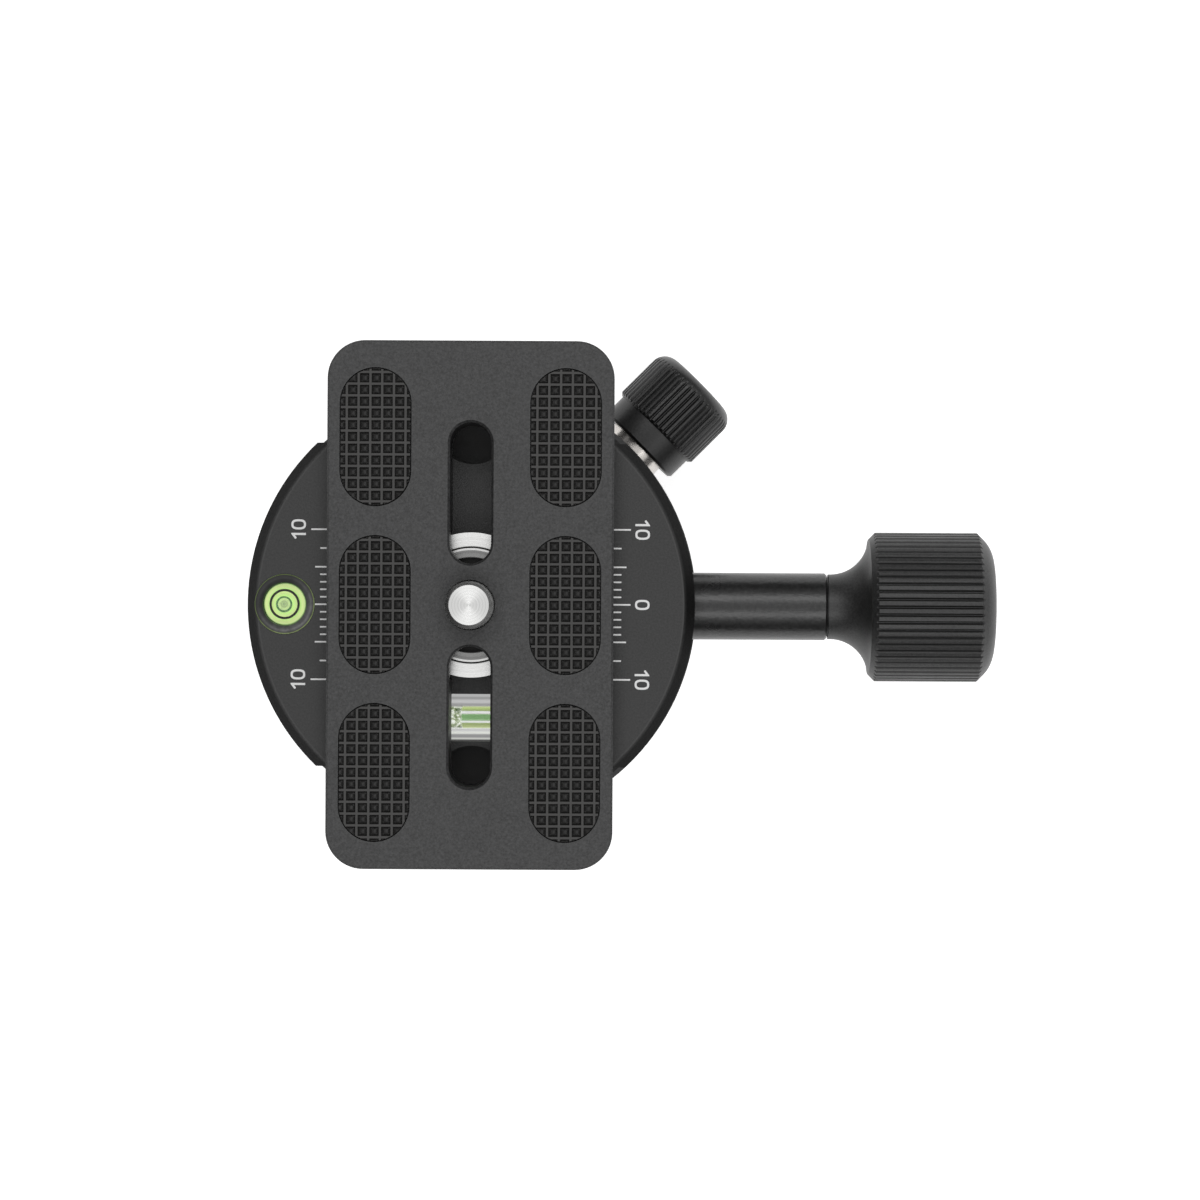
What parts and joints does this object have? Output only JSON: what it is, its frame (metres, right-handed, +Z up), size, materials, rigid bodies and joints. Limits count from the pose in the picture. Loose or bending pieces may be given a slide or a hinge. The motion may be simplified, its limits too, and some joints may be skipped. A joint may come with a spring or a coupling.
{
  "type": "panoramic tripod head",
  "caption": "Low panning tripod head: round turntable with a screw-knob dovetail clamp, spirit levels, a pan lock knob and a sliding quick-release camera plate",
  "frame": {"origin": "on the pan axis, at the bottom face that sits on the tripod", "axes": "+Z up along the pan axis and the tripod thread, +X towards the long clamp knob, +Y along the dovetail channel"},
  "size_m": [0.1012, 0.07, 0.0448],
  "materials": {
    "anodised_black": "satin black anodised turned and milled aluminium",
    "anodised_plate": "fine blasted dark grey anodised aluminium",
    "anodised_knob": "satin black anodised, straight knurl",
    "polished_steel": "turned bright stainless steel",
    "black_steel": "black oxide steel",
    "bronze": "turned bearing bronze",
    "nylon_white": "plain nylon",
    "nylon_black": "plain black nylon",
    "rubber_pad": "moulded rubber with a waffle grip",
    "clear_acrylic": "clear acrylic",
    "level_fluid": "green spirit"
  },
  "bodies": {
    "base": {"base_housing": "anodised_black", "tripod_thread_insert": "polished_steel", "pivot_bush": "bronze", "lower_thrust_washer": "nylon_white", "upper_thrust_washer": "nylon_white", "retaining_nut": "black_steel", "lock_screw_bush": "polished_steel"},
    "turntable": {"turntable_disc": "anodised_black", "clamp_body": "anodised_black", "clamp_fixing_screws": "black_steel", "jaw_guide_pins": "polished_steel", "jaw_springs": "polished_steel", "bullseye_vial": "clear_acrylic", "bullseye_fluid": "level_fluid", "tube_vial": "clear_acrylic", "tube_vial_fluid": "level_fluid"},
    "jaw": {"sliding_jaw": "anodised_black", "clamp_screw_sleeve": "anodised_knob"},
    "clamp_drive": {"clamp_knob": "anodised_knob", "clamp_screw": "polished_steel", "knob_washer": "nylon_black"},
    "brake_shoe": {"pan_brake_shoe": "nylon_white"},
    "pan_lock": {"pan_lock_knob": "anodised_knob", "pan_lock_screw": "polished_steel"},
    "plate": {"quick_plate": "anodised_plate", "grip_pads": "rubber_pad", "plate_stop_screws": "black_steel", "camera_screw_collar": "nylon_black"},
    "camera_screw": {"camera_screw": "polished_steel"}
  },
  "joints": [
    {"name": "pan", "type": "hinge", "parent": "base", "child": "turntable", "pos_m": [0, 0, 0.018], "axis": [0, 0, 1], "continuous": true},
    {"name": "clamp_knob_turn", "type": "hinge", "parent": "jaw", "child": "clamp_drive", "pos_m": [0.048, 0, 0.0248], "axis": [1, 0, 0], "range_deg": [0, 1260]},
    {"name": "jaw_slide", "type": "slide", "parent": "turntable", "child": "jaw", "axis": [1, 0, 0], "range_m": [0, 0.0035]},
    {"name": "pan_lock_turn", "type": "hinge", "parent": "brake_shoe", "child": "pan_lock", "pos_m": [0.02235, 0.02235, 0.008], "axis": [0.7071, 0.7071, 0], "range_deg": [0, 360]},
    {"name": "brake_shoe_slide", "type": "slide", "parent": "base", "child": "brake_shoe", "axis": [0.7071, 0.7071, 0], "range_m": [0, 0.0008]},
    {"name": "plate_slide", "type": "slide", "parent": "turntable", "child": "plate", "axis": [0, 1, 0], "range_m": [-0.0088, 0.0088]},
    {"name": "camera_screw_turn", "type": "hinge", "parent": "plate", "child": "camera_screw", "pos_m": [0, 0, 0.04], "axis": [0, 0, 1], "continuous": true}
  ],
  "couplings": [
    {"joint": "clamp_knob_turn", "follows": "jaw_slide", "rad_per_m": 6283.2},
    {"joint": "pan_lock_turn", "follows": "brake_shoe_slide", "rad_per_m": 7854}
  ]
}
